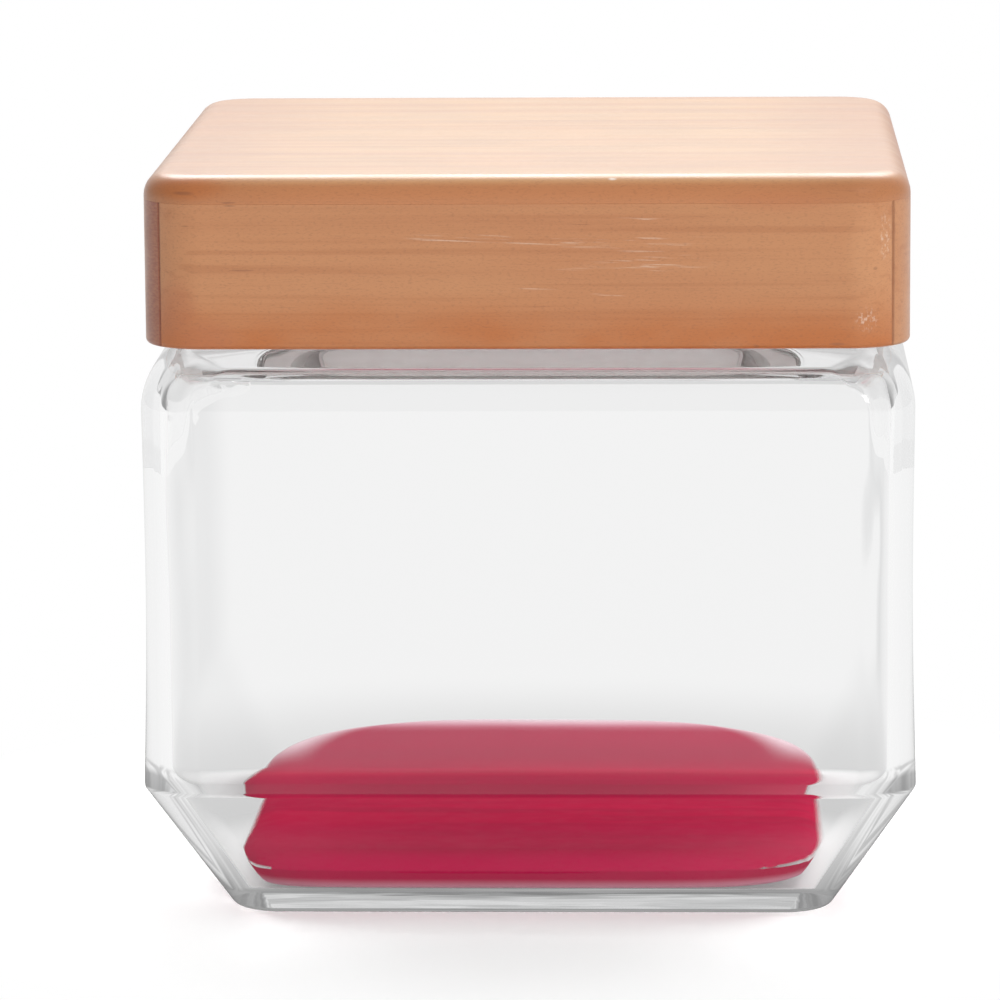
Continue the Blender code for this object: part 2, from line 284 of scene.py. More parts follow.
# Lamps: place, the point they aim at, size and watts
TOP_STRIP = ((0.0, 0.62, 0.80), (0.0, 0.0, 0.1), (0.9, 0.5), 9.1)
FRONT_FILL = ((0.5, -0.9, 0.7), (0.0, 0.0, 0.08), (0.5, 0.5), 6.0)

jar_low, jar_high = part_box("glass_jar")
top_low, top_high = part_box("lid_top_board")
rail_low, rail_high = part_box("lid_front_rail")
plug_low, plug_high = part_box("lid_plug_board")
seal_low, seal_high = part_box("lid_seal_ring")
candy_low, candy_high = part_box("candy_layer")
BODY_WIDTH = 2 * (jar_high.x - CREST_FLARE)
LIP_TOP = jar_high.z
SHOULDER_TOP = SHOULDER_START + SHOULDER_RISE
NECK_WIDTH = MOUTH_WIDTH + 2 * NECK_WALL
NECK_CORNER = MOUTH_CORNER + NECK_WALL
LID_WIDTH = top_high.x - top_low.x
SEAM = (top_low.z + rail_high.z) / 2


def mesh_object(name, mesh, material, body, node):
    """A piece that rides on a body in place of a CAD node."""
    made = bpy.data.objects.new(name, mesh)
    bpy.context.scene.collection.objects.link(made)
    mesh.materials.append(material)
    mesh.shade_smooth()
    mesh.set_sharp_from_angle(angle=math.radians(SHARP_ANGLE))
    smooth = made.modifiers.new("weighted_normals", "WEIGHTED_NORMAL")
    smooth.keep_sharp = True
    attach(made, body)
    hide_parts(node)
    return made


def between(value, start, end, at_start, at_end):
    return at_start + (at_end - at_start) * (value - start) / (end - start)


def soft_step(value, start, end):
    """0 below start, 1 above end, and a smooth rise between."""
    share = min(max((value - start) / (end - start), 0), 1)
    return share * share * (3 - 2 * share)


def rounded_square(width, corner, height):
    """Points of a square with round corners, seen from above, with points along its sides too."""
    points = []
    inset = width / 2 - corner
    for quarter in range(4):
        spin = Matrix.Rotation(quarter * math.pi / 2, 3, "Z")
        for step in range(CORNER_STEPS + 1):
            angle = step / CORNER_STEPS * math.pi / 2
            x, y = inset + corner * math.cos(angle), inset + corner * math.sin(angle)
            points.append(spin @ Vector((x, y, height)))
        for step in range(1, SIDE_STEPS):
            x = between(step, 0, SIDE_STEPS, inset, -inset)
            points.append(spin @ Vector((x, width / 2, height)))
    return points


def rounded_path(corners):
    """The outline through (half width, height, radius) corners, each rounded by its radius."""
    path = []
    for index, (x, z, radius) in enumerate(corners):
        if radius == 0:
            path.append((x, z))
            continue
        before, after = corners[index - 1], corners[(index + 1) % len(corners)]
        in_angle = math.atan2(before[1] - z, before[0] - x)
        out_angle = math.atan2(after[1] - z, after[0] - x)
        turn = (out_angle - in_angle + math.pi) % (2 * math.pi) - math.pi
        reach = radius / math.tan(abs(turn) / 2)
        middle = in_angle + turn / 2
        far = radius / math.sin(abs(turn) / 2)
        centre_x, centre_z = x + far * math.cos(middle), z + far * math.sin(middle)
        start_x, start_z = x + reach * math.cos(in_angle), z + reach * math.sin(in_angle)
        start = math.atan2(start_z - centre_z, start_x - centre_x)
        sweep = -math.copysign(math.pi - abs(turn), turn)
        for step in range(ROUND_STEPS + 1):
            angle = start + sweep * step / ROUND_STEPS
            path.append((centre_x + radius * math.cos(angle), centre_z + radius * math.sin(angle)))
    return path


def loft(name, rings, closed_loop=False):
    """A mesh through rings of equal length. An open loft is capped at both ends."""
    bm = bmesh.new()
    rows = [[bm.verts.new(point) for point in ring] for ring in rings]
    pairs = list(zip(rows, rows[1:]))
    if closed_loop:
        pairs.append((rows[-1], rows[0]))
    else:
        bm.faces.new(rows[0])
        bm.faces.new(rows[-1])
    count = len(rows[0])
    for lower, upper in pairs:
        for index in range(count):
            following = (index + 1) % count
            bm.faces.new((lower[index], lower[following], upper[following], upper[index]))
    bmesh.ops.recalc_face_normals(bm, faces=bm.faces)
    mesh = bpy.data.meshes.new(name)
    bm.to_mesh(mesh)
    bm.free()
    return mesh


def rings_along(path, start, end):
    """Rounded squares along a path. start and end give (half width, corner) to blend between."""
    rings = []
    for half, height in path:
        corner = between(half, start[0], end[0], start[1], end[1])
        rings.append(rounded_square(2 * half, corner, height))
    return rings


def rings_inset(path, width, corner):
    """Rounded squares along a path, each set in evenly from a square of this width and corner."""
    return [rounded_square(2 * half, corner - (width / 2 - half), z) for half, z in path]


def outer_low_path():
    base, crest = BASE_WIDTH / 2, BODY_WIDTH / 2 + CREST_FLARE
    foot_inside = base - FOOT_WIDTH
    corners = [
        (foot_inside - PUSH_UP_RUN, PUSH_UP, 0),
        (foot_inside, 0, 0),
        (base, 0, FOOT_ROUND),
        (crest, TAPER_HEIGHT, CREST_ROUND),
        (crest, SHOULDER_START, 0),
    ]
    return rounded_path(corners)[:-1]


def outer_wall_path():
    body = BODY_WIDTH / 2
    path = []
    for step in range(1, WALL_STEPS + 1):
        share = step / WALL_STEPS
        height = between(share, 0, 1, TAPER_HEIGHT + CREST_ROUND, SHOULDER_START)
        sink = WAIST_SINK * math.sin(math.pi * share)
        flare = CREST_FLARE * (1 - share) ** 4
        path.append((body - sink + flare, height))
    return path


def shoulder_path(run, rise):
    centre = BODY_WIDTH / 2 - SHOULDER_RUN
    angles = [step / SHOULDER_STEPS * math.pi / 2 for step in range(1, SHOULDER_STEPS + 1)]
    return [(centre + run * math.cos(a), SHOULDER_START + rise * math.sin(a)) for a in angles]


def outer_high_path():
    neck, bead = NECK_WIDTH / 2, NECK_WIDTH / 2 + LIP_BEAD
    shoulder = shoulder_path(SHOULDER_RUN, SHOULDER_RISE)
    bead_bottom = LIP_TOP - LIP_HEIGHT
    corners = [
        (*shoulder[-1], 0),
        (neck, SHOULDER_TOP, NECK_FILLET),
        (neck, bead_bottom - LIP_BEAD, 0),
        (bead, bead_bottom, 0),
        (bead, LIP_TOP, LIP_ROUND),
        (MOUTH_WIDTH / 2, LIP_TOP, 0),
    ]
    return shoulder[:-1] + rounded_path(corners)[:-1]


def inner_high_path():
    mouth = MOUTH_WIDTH / 2
    under_shoulder = SHOULDER_TOP - SHOULDER_WALL
    shoulder = shoulder_path(SHOULDER_RUN - WALL, SHOULDER_RISE - SHOULDER_WALL)
    corners = [
        (mouth + NECK_WALL, LIP_TOP, 0),
        (mouth, LIP_TOP, LIP_ROUND),
        (mouth, under_shoulder, MOUTH_FILLET),
        (*shoulder[-1], 0),
    ]
    return rounded_path(corners)[1:] + shoulder[-2::-1]


def taper_slope():
    """How far the tapered wall runs outwards for each metre that it rises."""
    return (BODY_WIDTH / 2 + CREST_FLARE - BASE_WIDTH / 2) / TAPER_HEIGHT


def inside_taper(height):
    slope = taper_slope()
    return BASE_WIDTH / 2 + slope * height - WALL * math.hypot(1, slope)


def inner_low_path():
    """The inside wall, its bend into the taper, the taper and the edge of the floor."""
    inside = BODY_WIDTH / 2 - WALL
    floor = inside_taper(FLOOR_THICKNESS)
    corners = [
        (inside, SHOULDER_START, 0),
        (inside, INSIDE_TAPER_TOP, INSIDE_CREST_ROUND),
        (floor, FLOOR_THICKNESS, FLOOR_FILLET),
        (floor - 2 * FLOOR_FILLET, FLOOR_THICKNESS, 0),
    ]
    path = rounded_path(corners)
    bend = path[1][1]
    wall = [(inside, between(step, 0, WALL_STEPS, SHOULDER_START, bend)) for step in range(WALL_STEPS)]
    return wall + path[1:]


def flow_inside(rings):
    """Eases the inside's corners into its walls, as glass sets in a mould. It fades at the shoulder."""
    for ring in rings:
        half = max(point.x for point in ring)
        for point in ring:
            share = soft_step(-point.z, WALL - SHOULDER_TOP, WAVER_FADE - SHOULDER_START)
            shares = abs(point.x / half) ** INSIDE_SQUARENESS + abs(point.y / half) ** INSIDE_SQUARENESS
            scale = 1 + share * (shares ** (-1 / INSIDE_SQUARENESS) - 1)
            point.x *= scale
            point.y *= scale
    return rings


def waver(rings):
    """Lets the inside wall waver in and out, as pressed glass does, and streaks its upper corners."""
    for ring in rings:
        half = max(point.x for point in ring)
        for point in ring:
            nearer = min(abs(point.x), abs(point.y))
            rise = soft_step(point.z, *STREAK_RISE) * soft_step(-point.z, -SHOULDER_TOP, -SHOULDER_START)
            corner = soft_step(nearer, half - STREAK_START, half - STREAK_FULL) * rise
            cell = Vector((point.x / STREAK_WIDTH, point.y / STREAK_WIDTH, point.z / STREAK_LENGTH))
            fade = soft_step(point.z, FLOOR_THICKNESS, FLOOR_THICKNESS + WAVER_FADE)
            fade *= soft_step(-point.z, -SHOULDER_START, WAVER_FADE - SHOULDER_START)
            outwards = Vector((point.x, point.y, 0)).normalized()
            soft = INSIDE_WAVER * fade * noise.noise(point / WAVER_LENGTH)
            point += outwards * (soft + CORNER_STREAK * corner * noise.noise(cell))
    return rings


def build_glass(material):
    body, base, neck = BODY_WIDTH / 2, BASE_WIDTH / 2, NECK_WIDTH / 2
    inside = (body - WALL, BODY_CORNER - WALL)
    rings = rings_along(outer_low_path(), (base, BASE_CORNER), (body, BODY_CORNER))
    rings += [rounded_square(2 * half, BODY_CORNER, z) for half, z in outer_wall_path()]
    rings += rings_along(outer_high_path(), (body, BODY_CORNER), (neck, NECK_CORNER))
    floor = (inside_taper(FLOOR_THICKNESS), FLOOR_CORNER)
    inner = rings_along(inner_high_path(), (MOUTH_WIDTH / 2, MOUTH_CORNER), inside)
    inner += rings_along(inner_low_path(), floor, inside)
    rings += waver(flow_inside(inner))
    mesh = loft("clear_glass_jar", rings)
    mesh_object("clear_glass_jar", mesh, material, "jar", "glass_jar")


def candy_outline(half, height):
    """The candy seen from above: nearly square at the front left, and round at the back."""
    left, right, back = CANDY_SQUARENESS
    ring = rounded_square(2 * half, CANDY_CORNER, height)
    for point in ring:
        front = right if point.x > 0 else left
        power = back if point.y > 0 else front
        total = abs(point.x / half) ** power + abs(point.y / half) ** power
        point.x *= total ** (-1 / power)
        point.y *= total ** (-1 / power)
    return ring


def build_candy(material):
    """Candy that has set on the floor: its side follows the glass and its edge is crowned."""
    bottom = candy_low.z
    rim = bottom + CANDY_RIM
    half = candy_high.x + CANDY_SPREAD
    low_half = half - CANDY_RIM * taper_slope()
    corners = [
        (low_half - 2 * FLOOR_FILLET, bottom, 0),
        (low_half, bottom, FLOOR_FILLET),
        (half, rim, 0),
    ]
    path = rounded_path(corners)
    for step in range(1, SHOULDER_STEPS + 1):
        angle = step / SHOULDER_STEPS * math.pi / 2
        crown = CANDY_CROWN_RUN * (1 - math.cos(angle))
        path.append((half - crown, rim + CANDY_CROWN * math.sin(angle)))
    rings = [candy_outline(x, z) for x, z in path]
    mesh_object("set_candy", loft("set_candy", rings), material, "jar", "candy_layer")


def build_top_board(material, raw):
    half = LID_WIDTH / 2
    flat = half - TOP_ROUND
    corners = [
        (half - UNDERSIDE_INSET, SEAM, 0),
        (half, SEAM, SEAM_ROUND),
        (half, top_high.z, TOP_ROUND),
        (flat - TOP_FACE_INSET, top_high.z, 0),
    ]
    rings = rings_inset(rounded_path(corners), LID_WIDTH, LID_CORNER)
    mesh = loft("varnished_top_board", rings)
    made = mesh_object("varnished_top_board", mesh, material, "lid", "lid_top_board")
    bare_faces(made, raw, lambda face: face.normal.z < -0.99)


def rail_ring(inset, height):
    """The front rail's outline at a height. Its outer side is set in, its inner side stays."""
    half = LID_WIDTH / 2
    inner = half - RAIL_THICKNESS
    centre = half - LID_CORNER
    radius = LID_CORNER - inset
    ease = MITRE_EASE / LID_CORNER
    first = math.radians(225) + ease + MITRE_GAP / LID_CORNER
    left = []
    face = centre + (radius - MITRE_EASE) / math.sqrt(2)
    left.append((MITRE_GAP - face, -face))
    for step in range(CORNER_STEPS + 1):
        angle = between(step, 0, CORNER_STEPS, first, math.radians(270))
        left.append((-centre + radius * math.cos(angle), -centre + radius * math.sin(angle)))
    steps = range(1, SIDE_STEPS)
    middle = [(between(step, 0, SIDE_STEPS, -centre, centre), inset - half) for step in steps]
    right = [(-x, y) for x, y in reversed(left)]
    back = [(inner - MITRE_GAP, -inner), (MITRE_GAP - inner, -inner)]
    return [Vector((x, y, height)) for x, y in left + middle + right + back]


def bare_faces(made, raw, chosen):
    """Gives the chosen faces unvarnished wood, painted pale grey as painted light in the lid's shaded
    inside.
    """
    made.data.materials.append(raw)
    for face in made.data.polygons:
        if chosen(face):
            face.material_index = 1


def build_rail(side, turn, material, raw):
    """A mitred rail. Its mesh lies along X and the object is turned to its side of the lid."""
    rings = []
    for step in range(ROUND_STEPS + 1):
        angle = step / ROUND_STEPS * math.pi / 2
        inset, rise = RAIL_ROUND * (1 - math.sin(angle)), RAIL_ROUND * (1 - math.cos(angle))
        rings.append(rail_ring(inset, rail_low.z + rise))
    for share in (0.25, 0.5, 0.75):
        rings.append(rail_ring(0, between(share, 0, 1, rail_low.z, SEAM)))
    rings.append(rail_ring(0, SEAM - SEAM_ROUND))
    rings.append(rail_ring(SEAM_ROUND, SEAM))
    name = f"varnished_{side}_rail"
    made = mesh_object(name, loft(name, rings), material, "lid", f"lid_{side}_rail")
    made.rotation_euler.z = turn
    bare_faces(made, raw, lambda face: abs(face.normal.z) > 0.99 or face.normal.y > 0.9)


def build_plug(material):
    half = plug_high.x
    corners = [
        (half - PLUG_UNDERSIDE_INSET, plug_low.z, 0),
        (half, plug_low.z, PLUG_ROUND),
        (half, plug_high.z, SEAM_ROUND),
        (half - PLUG_TOP_INSET, plug_high.z, 0),
    ]
    mesh = loft("bare_plug_board", rings_inset(rounded_path(corners), 2 * half, PLUG_CORNER))
    mesh_object("bare_plug_board", mesh, material, "lid", "lid_plug_board")


def build_seal(material):
    """A ring with a flange over the lip, a skirt round the plug and soft fins towards the mouth."""
    mouth = MOUTH_WIDTH / 2
    rim = seal_high.x
    flange_bottom = seal_high.z - SEAL_FLANGE
    inside = plug_high.x + SEAM_ROUND
    skirt = inside + SEAL_SKIRT
    ease = SEAL_EASE
    corners = [(inside, seal_high.z, ease), (inside, seal_low.z, ease), (skirt, seal_low.z, ease)]
    for fin in range(SEAL_FINS):
        middle = between(fin + 0.5, 0, SEAL_FINS, seal_low.z, flange_bottom)
        corners.append((skirt, middle - SEAL_FIN_HEIGHT / 2, 0))
        corners.append((skirt + SEAL_FIN, middle, SEAL_FIN_ROUND))
        corners.append((skirt, middle + SEAL_FIN_HEIGHT / 2, 0))
    corners += [(skirt, flange_bottom, ease), (rim, flange_bottom, ease), (rim, seal_high.z, ease)]
    path = rounded_path(corners)
    rings = [rounded_square(2 * half, half - mouth + MOUTH_CORNER, z) for half, z in path]
    mesh = loft("silicone_seal", rings, closed_loop=True)
    mesh_object("silicone_seal", mesh, material, "lid", "lid_seal_ring")


def new_material(name):
    material = bpy.data.materials.new(name)
    material.use_nodes = True
    return material, material.node_tree, material.node_tree.nodes["Principled BSDF"]


def show(tree, surface):
    """Makes this shader the material's surface."""
    feed(tree, tree.nodes["Material Output"].inputs["Surface"], surface)


def feed(tree, socket, value):
    """Gives a socket a value, or links another socket to it."""
    if isinstance(value, bpy.types.NodeSocket):
        tree.links.new(value, socket)
    elif socket.type == "RGBA":
        socket.default_value = (*value, 1)
    else:
        socket.default_value = value


def add_node(tree, kind, inputs, **settings):
    node = tree.nodes.new(kind)
    for name, value in settings.items():
        setattr(node, name, value)
    for name, value in inputs.items():
        feed(tree, node.inputs[name], value)
    return node


def maths(tree, operation, first, second=0.0):
    node = add_node(tree, "ShaderNodeMath", {0: first, 1: second}, operation=operation)
    return node.outputs["Value"]


def times(tree, first, second):
    return maths(tree, "MULTIPLY", first, second)


def ramp(tree, value, low, high, at_low=0.0, at_high=1.0):
    """Runs smoothly from at_low to at_high while value runs from low to high."""
    inputs = {"Value": value, "From Min": low, "From Max": high, "To Min": at_low, "To Max": at_high}
    node = add_node(tree, "ShaderNodeMapRange", inputs, interpolation_type="SMOOTHSTEP")
    return node.outputs["Result"]


def axes(tree, place):
    return add_node(tree, "ShaderNodeSeparateXYZ", {0: place}).outputs


def off_centre(tree, along):
    """How far a place is from the middle along one axis."""
    return maths(tree, "ABSOLUTE", along)


def tint(tree, base, colour, amount):
    """Mixes base towards colour by amount."""
    node = add_node(tree, "ShaderNodeMix", {0: amount}, data_type="RGBA")
    feed(tree, node.inputs[6], base)
    feed(tree, node.inputs[7], colour)
    return node.outputs[2]


def object_place(tree):
    return tree.nodes.new("ShaderNodeTexCoord").outputs["Object"]


def cloud(tree, place, scale, detail=3.0, shift=0.0):
    """Noise from 0 to 1, with scale cells to the metre along each axis."""
    inputs = {"Vector": place, "Scale": scale, "Location": (shift, shift * 1.7, shift * 0.6)}
    mapped = add_node(tree, "ShaderNodeMapping", inputs).outputs["Vector"]
    inputs = {"Vector": mapped, "Scale": 1.0, "Detail": detail, "Roughness": 0.55}
    return add_node(tree, "ShaderNodeTexNoise", inputs).outputs["Fac"]


def vector_maths(tree, operation, inputs):
    return add_node(tree, "ShaderNodeVectorMath", inputs, operation=operation).outputs


def patch(tree, place, centre, reach):
    """1 inside an egg-shaped patch round centre, falling to 0 at its reach."""
    apart = vector_maths(tree, "SUBTRACT", {0: place, 1: centre})["Vector"]
    scaled = vector_maths(tree, "DIVIDE", {0: apart, 1: reach})["Vector"]
    length = vector_maths(tree, "LENGTH", {0: scaled})["Value"]
    return ramp(tree, length, MARK_CORE, 1.0, 1.0, 0.0)


def patches(tree, place, spots):
    """The strongest of several marks on the front of the lid."""
    strongest = None
    for x, z, half_length, half_height in spots:
        centre = (x / 1000, -LID_WIDTH / 2, z / 1000)
        found = patch(tree, place, centre, (half_length / 1000, MARK_DEPTH, half_height / 1000))
        strongest = found if strongest is None else maths(tree, "MAXIMUM", strongest, found)
    return strongest


def mark(tree, place, colour, spots, mark_colour, strength):
    """Tints colour at the marks."""
    return tint(tree, colour, mark_colour, times(tree, patches(tree, place, spots), strength))


def mix_shader(tree, amount, first, second):
    return add_node(tree, "ShaderNodeMixShader", {0: amount, 1: first, 2: second}).outputs["Shader"]


def glass_material():
    """Clear glass. Light from a lamp, and light that has bounced often enough, goes straight through."""
    material, tree, shader = new_material("clear_glass")
    place = object_place(tree)
    shader.inputs["Base Color"].default_value = (*GLASS, 1)
    shader.inputs["Roughness"].default_value = 0.0
    shader.inputs["IOR"].default_value = 1.5
    shader.inputs["Transmission Weight"].default_value = 1.0
    swell = cloud(tree, place, (70, 70, 40), 1.0)
    bump = add_node(tree, "ShaderNodeBump", {"Strength": 0.15, "Distance": 0.0003, "Height": swell})
    feed(tree, shader.inputs["Normal"], bump.outputs["Normal"])
    clear = add_node(tree, "ShaderNodeBsdfTransparent", {"Color": GLASS_THROUGH})
    rays = tree.nodes.new("ShaderNodeLightPath").outputs
    split = axes(tree, place)
    top = ramp(tree, split["Z"], SHOULDER_TOP - WALL, SHOULDER_TOP - WALL / 2)
    outer = ramp(tree, off_centre(tree, split["X"]), *UPPER_CORNER_OUT)
    corner = times(tree, outer, ramp(tree, split["Z"], *UPPER_CORNER_UP))
    most = ramp(tree, maths(tree, "MAXIMUM", top, corner), 0.0, 1.0, *BOUNCES)
    late = maths(tree, "GREATER_THAN", rays["Ray Depth"], most)
    straight = maths(tree, "MAXIMUM", rays["Is Shadow Ray"], late)
    show(tree, mix_shader(tree, straight, shader.outputs["BSDF"], clear.outputs["BSDF"]))
    body = add_node(tree, "ShaderNodeVolumeAbsorption", {"Color": GLASS_DEEP, "Density": 4.0})
    feed(tree, tree.nodes["Material Output"].inputs["Volume"], body.outputs["Volume"])
    return material


def wood_material(name, shift, marks=None, colours=VARNISHED, growth=GROWTH, band_depth=0.2, gloss=True):
    """Pine with its grain along X: growth bands, fine streaks, fibres, pores and soft blotches."""
    light, dark, rust = colours
    material, tree, shader = new_material(name)
    place = object_place(tree)
    bands = ramp(tree, cloud(tree, place, growth, 2, shift), 0.42, 0.62)
    streaks = cloud(tree, place, STREAKS, 3, shift + 3)
    pores = ramp(tree, cloud(tree, place, PORES, 2, shift + 7), 0.64, 0.78)
    fibres = cloud(tree, place, FIBRES, 2, shift + 17)
    blotches = ramp(tree, cloud(tree, place, BLOTCHES, 2, shift + 11), 0.4, 0.7)
    colour = tint(tree, light, dark, times(tree, bands, band_depth))
    colour = tint(tree, colour, rust, times(tree, blotches, 0.22))
    colour = tint(tree, colour, light, ramp(tree, streaks, 0.5, 0.68, 0.0, 0.5))
    colour = tint(tree, colour, dark, ramp(tree, streaks, 0.5, 0.32, 0.0, 0.42))
    if marks:
        colour = marks(tree, place, colour)
    colour = tint(tree, colour, PINE_PORE, ramp(tree, fibres, 0.48, 0.75, 0.0, 0.24))
    colour = tint(tree, colour, PINE_PORE, times(tree, pores, 0.2))
    feed(tree, shader.inputs["Base Color"], colour)
    smears = cloud(tree, place, SMEARS, 3, shift + 5)
    if gloss:
        feed(tree, shader.inputs["Roughness"], ramp(tree, smears, 0.3, 0.7, 0.32, 0.44))
        shader.inputs["Coat Weight"].default_value = 0.8
        shader.inputs["Coat Roughness"].default_value = 0.42
    else:
        feed(tree, shader.inputs["Roughness"], ramp(tree, smears, 0.3, 0.7, 0.62, 0.8))
    relief = maths(tree, "SUBTRACT", streaks, pores)
    bump = add_node(tree, "ShaderNodeBump", {"Strength": 0.2, "Distance": 0.00006, "Height": relief})
    feed(tree, shader.inputs["Normal"], bump.outputs["Normal"])
    return material


def mitre_marks(tree, place, colour):
    """A darker line where the rail meets the next one."""
    joint = ramp(tree, off_centre(tree, axes(tree, place)["X"]), *JOINT_LINE)
    return tint(tree, colour, PINE_PORE, times(tree, joint, 0.5))


def front_rail_marks(tree, place, colour):
    """Stains at the left end and along the bottom, a patch of painted light at the right end, pale
    scratches, scuffs and dark specks.
    """
    colour = mitre_marks(tree, place, colour)
    low = ramp(tree, axes(tree, place)["Z"], *LOW_STAIN_RISE)
    uneven = ramp(tree, cloud(tree, place, LOW_STAIN_CLOUD, 3, 2), 0.35, 0.65, 0.5, 1.0)
    colour = tint(tree, colour, LOW_STAIN, times(tree, low, uneven))
    colour = mark(tree, place, colour, RAIL_STAINS, LEFT_STAIN, 0.45)
    colour = mark(tree, place, colour, RAIL_TONGUE, PINE_RUST, 0.4)
    colour = mark(tree, place, colour, RAIL_PAINTED_LIGHT, PAINTED_LIGHT_PATCH, 0.2)
    colour = mark(tree, place, colour, RAIL_SPECKS, PINE_PORE, 0.4)
    inputs = {"Vector": place, "Rotation": (0, SCRATCH_LEAN, 0)}
    lean = add_node(tree, "ShaderNodeMapping", inputs).outputs["Vector"]
    lines = ramp(tree, cloud(tree, lean, SCRATCHES, 3, 9), 0.55, 0.68)
    lines = times(tree, lines, patches(tree, place, RAIL_SCRATCHES))
    colour = tint(tree, colour, PINE_SCUFF, times(tree, lines, 0.5))
    rubs = ramp(tree, cloud(tree, place, RUBS, 3, 4), 0.5, 0.66)
    rubs = times(tree, rubs, patches(tree, place, RAIL_SCUFFS))
    return tint(tree, colour, PINE_SCUFF, times(tree, rubs, 0.5))


def left_rail_joint_and_painted_shade(tree, place, colour):
    """A darker joint line, and painted shade over the rail's front end, the strip at the lid's left
    corner, which faces away from the light; the shade is hatched with fine grain.
    """
    colour = mitre_marks(tree, place, colour)
    end = ramp(tree, axes(tree, place)["X"], *LEFT_END_PAINTED_SHADE_RUN)
    hatch = ramp(tree, cloud(tree, place, HATCH, 3, 5), 0.35, 0.65, 0.55, 0.9)
    return tint(tree, colour, LEFT_END_PAINTED_SHADE, times(tree, end, hatch))


def top_board_marks(tree, place, colour):
    """Painted shade round the edge, which stays darker than the top face, whose paler tone is painted
    light; richer colour at both ends and at a corner, a darker streak, a chip and dashes.
    """
    split = axes(tree, place)
    colour = tint(tree, colour, EDGE_PAINTED_SHADE, ramp(tree, split["Z"], *EDGE_PAINTED_SHADE_RISE))
    colour = tint(tree, colour, END_STAIN, ramp(tree, off_centre(tree, split["X"]), *END_STAIN_RUN))
    colour = mark(tree, place, colour, BOARD_TONGUE, PINE_RUST, 0.4)
    colour = mark(tree, place, colour, BOARD_STAIN, CORNER_STAIN, 0.7)
    colour = mark(tree, place, colour, BOARD_SPECKS, PINE_PORE, 0.45)
    chip = patch(tree, place, CHIP_PLACE, CHIP_SIZE)
    return tint(tree, colour, CHIP, times(tree, chip, 0.8))


def candy_margin(tree, split):
    """How far a place lies inside the candy's left or right edge, in metres."""
    half = candy_high.x + CANDY_SPREAD
    at_right = maths(tree, "GREATER_THAN", split["X"], 0.0)
    behind = maths(tree, "GREATER_THAN", split["Y"], 0.0)
    left, right, back = CANDY_SQUARENESS
    front_power = maths(tree, "SUBTRACT", left, times(tree, at_right, left - right))
    change = times(tree, behind, maths(tree, "SUBTRACT", back, front_power))
    power = maths(tree, "ADD", front_power, change)
    depth = off_centre(tree, times(tree, split["Y"], 1 / half))
    depth = maths(tree, "MINIMUM", depth, CANDY_MOST_DEPTH)
    left_over = maths(tree, "SUBTRACT", 1.0, maths(tree, "POWER", depth, power))
    width = times(tree, maths(tree, "POWER", left_over, maths(tree, "DIVIDE", 1.0, power)), half)
    return maths(tree, "SUBTRACT", width, off_centre(tree, split["X"]))


def candy_material():
    """Set red candy. It grows paler and thinner towards its back edge and its back corners."""
    material, tree, shader = new_material("red_candy")
    place = object_place(tree)
    split = axes(tree, place)
    deep = split["Y"]
    mottle = ramp(tree, cloud(tree, place, (16, 150, 180), 4), 0.42, 0.68, 0.0, 0.8)
    # The deeper maroon at the front is painted shade
    colour = tint(tree, tint(tree, CRIMSON, MAROON, mottle), PAINTED_SHADE_MAROON, ramp(tree, deep, *PAINTED_SHADE_FRONT))
    colour = tint(tree, colour, ROSE, ramp(tree, deep, *ROSE_REAR))
    colour = tint(tree, colour, MAROON, times(tree, mottle, 0.2))
    # Painted light on the front side, which faces down
    colour = tint(tree, colour, PAINTED_LIGHT_ROSE, ramp(tree, deep, *PAINTED_LIGHT_FRONT_EDGE))
    # Paler low down: the edge's fade, and painted light on the downward-facing side
    colour = tint(tree, colour, PALE_ROSE, ramp(tree, split["Z"], *FADE_AND_PAINTED_LIGHT_BELOW_IN_Z))
    colour = tint(tree, colour, PALE_ROSE, ramp(tree, deep, *PALE_REAR))
    margin = candy_margin(tree, split)
    corners = times(tree, ramp(tree, margin, *THIN_CORNER_IN_MARGIN), ramp(tree, deep, *THIN_CORNER))
    thin = maths(tree, "MAXIMUM", corners, ramp(tree, deep, *THIN_REAR))
    colour = tint(tree, colour, PALEST_ROSE, times(tree, thin, 0.75))
    feed(tree, shader.inputs["Base Color"], colour)
    smears = cloud(tree, place, (300, 300, 300))
    feed(tree, shader.inputs["Roughness"], ramp(tree, smears, 0.3, 0.7, 0.4, 0.55))
    shader.inputs["IOR"].default_value = 1.02
    front_reach = ramp(tree, deep, *SIDE_FADE_FRONT)
    reach = maths(tree, "ADD", front_reach, ramp(tree, deep, *SIDE_FADE_REAR))
    crown = times(tree, ramp(tree, margin, 0.0, reach), ramp(tree, deep, *REAR_FADE))
    low = times(tree, ramp(tree, split["Z"], *SOLID_BELOW_IN_Z), ramp(tree, deep, *SOLID_REAR))
    turned = tree.nodes.new("ShaderNodeNewGeometry").outputs["Backfacing"]
    outward = maths(tree, "SUBTRACT", 1.0, turned)
    feed(tree, shader.inputs["Alpha"], times(tree, maths(tree, "MAXIMUM", crown, low), outward))
    return material


def silicone_material():
    material, tree, shader = new_material("clear_silicone")
    place = object_place(tree)
    haze = ramp(tree, cloud(tree, place, (90, 90, 90)), 0.3, 0.7)
    feed(tree, shader.inputs["Base Color"], tint(tree, SILICONE, SILICONE_HAZE, haze))
    feed(tree, shader.inputs["Roughness"], ramp(tree, haze, 0, 1, 0.32, 0.45))
    shader.inputs["Subsurface Weight"].default_value = 0.3
    shader.inputs["Subsurface Radius"].default_value = (0.002, 0.002, 0.002)
    return material


